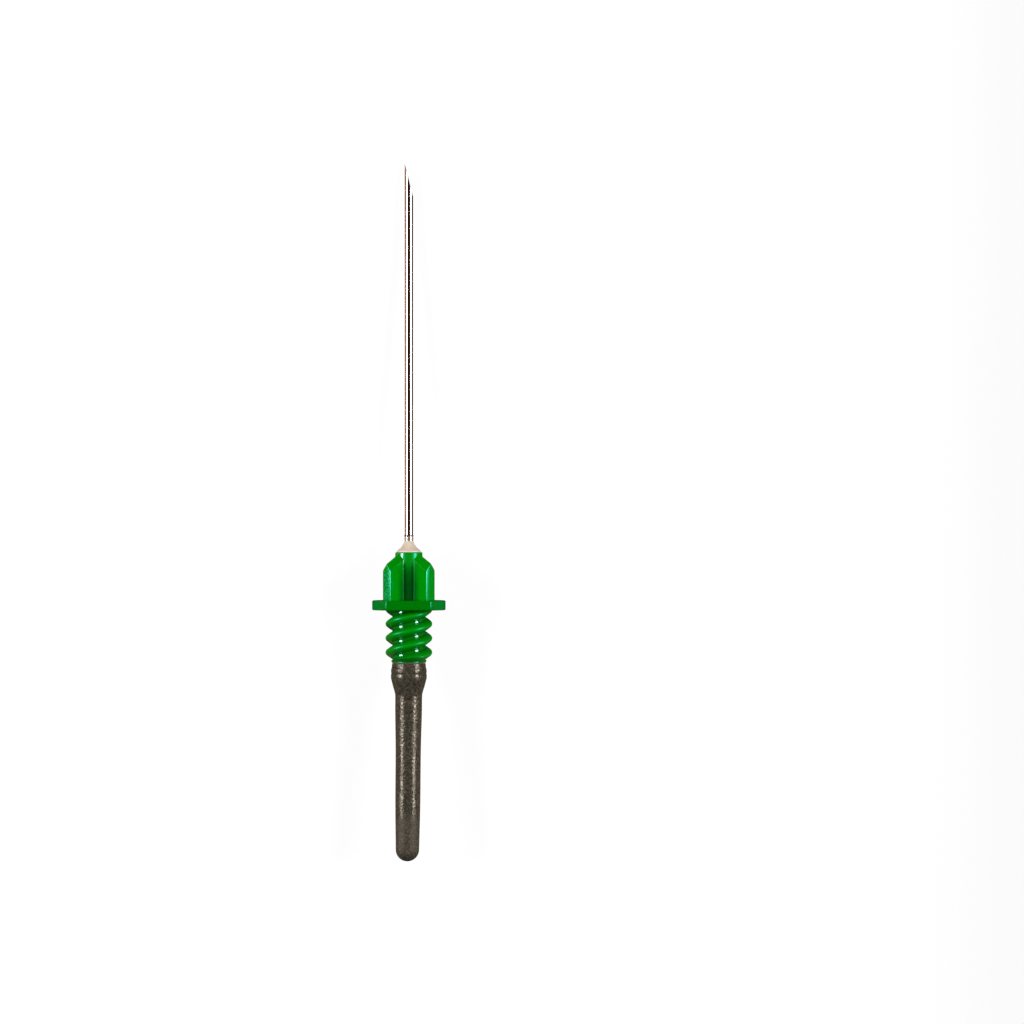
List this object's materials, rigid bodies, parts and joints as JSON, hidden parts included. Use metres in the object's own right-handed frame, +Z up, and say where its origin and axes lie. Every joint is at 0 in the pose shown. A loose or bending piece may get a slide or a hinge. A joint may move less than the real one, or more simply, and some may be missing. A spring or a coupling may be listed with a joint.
{
  "type": "blood collection needle",
  "caption": "Double-ended steel needle with a ribbed green screw hub and a closed rubber sleeve over its rear point.",
  "frame": {"origin": "middle of the needle's length and width, on the surface it lies on", "axes": "+Y along the needle towards its point, +Z up; the needle lies on one flat of its flange and on its point, its axis dipping 3.4 degrees towards the point"},
  "size_m": [0.0072, 0.0682, 0.0058],
  "materials": {
    "stainless_tube": "polished",
    "green_moulding": "gloss",
    "set_adhesive": "satin",
    "sleeve_rubber": "matte"
  },
  "bodies": {
    "needle": {"cannula": "stainless_tube", "hub": "green_moulding", "adhesive": "set_adhesive"},
    "sleeve": {"rubber_sleeve": "sleeve_rubber"}
  },
  "joints": [
    {"name": "sleeve_push_back", "type": "slide", "parent": "needle", "child": "sleeve", "axis": [0, 0.9982, -0.0596], "range_m": [0, 0.0125], "stiffness_N_per_m": 250, "deforming": ["rubber_sleeve"]}
  ]
}
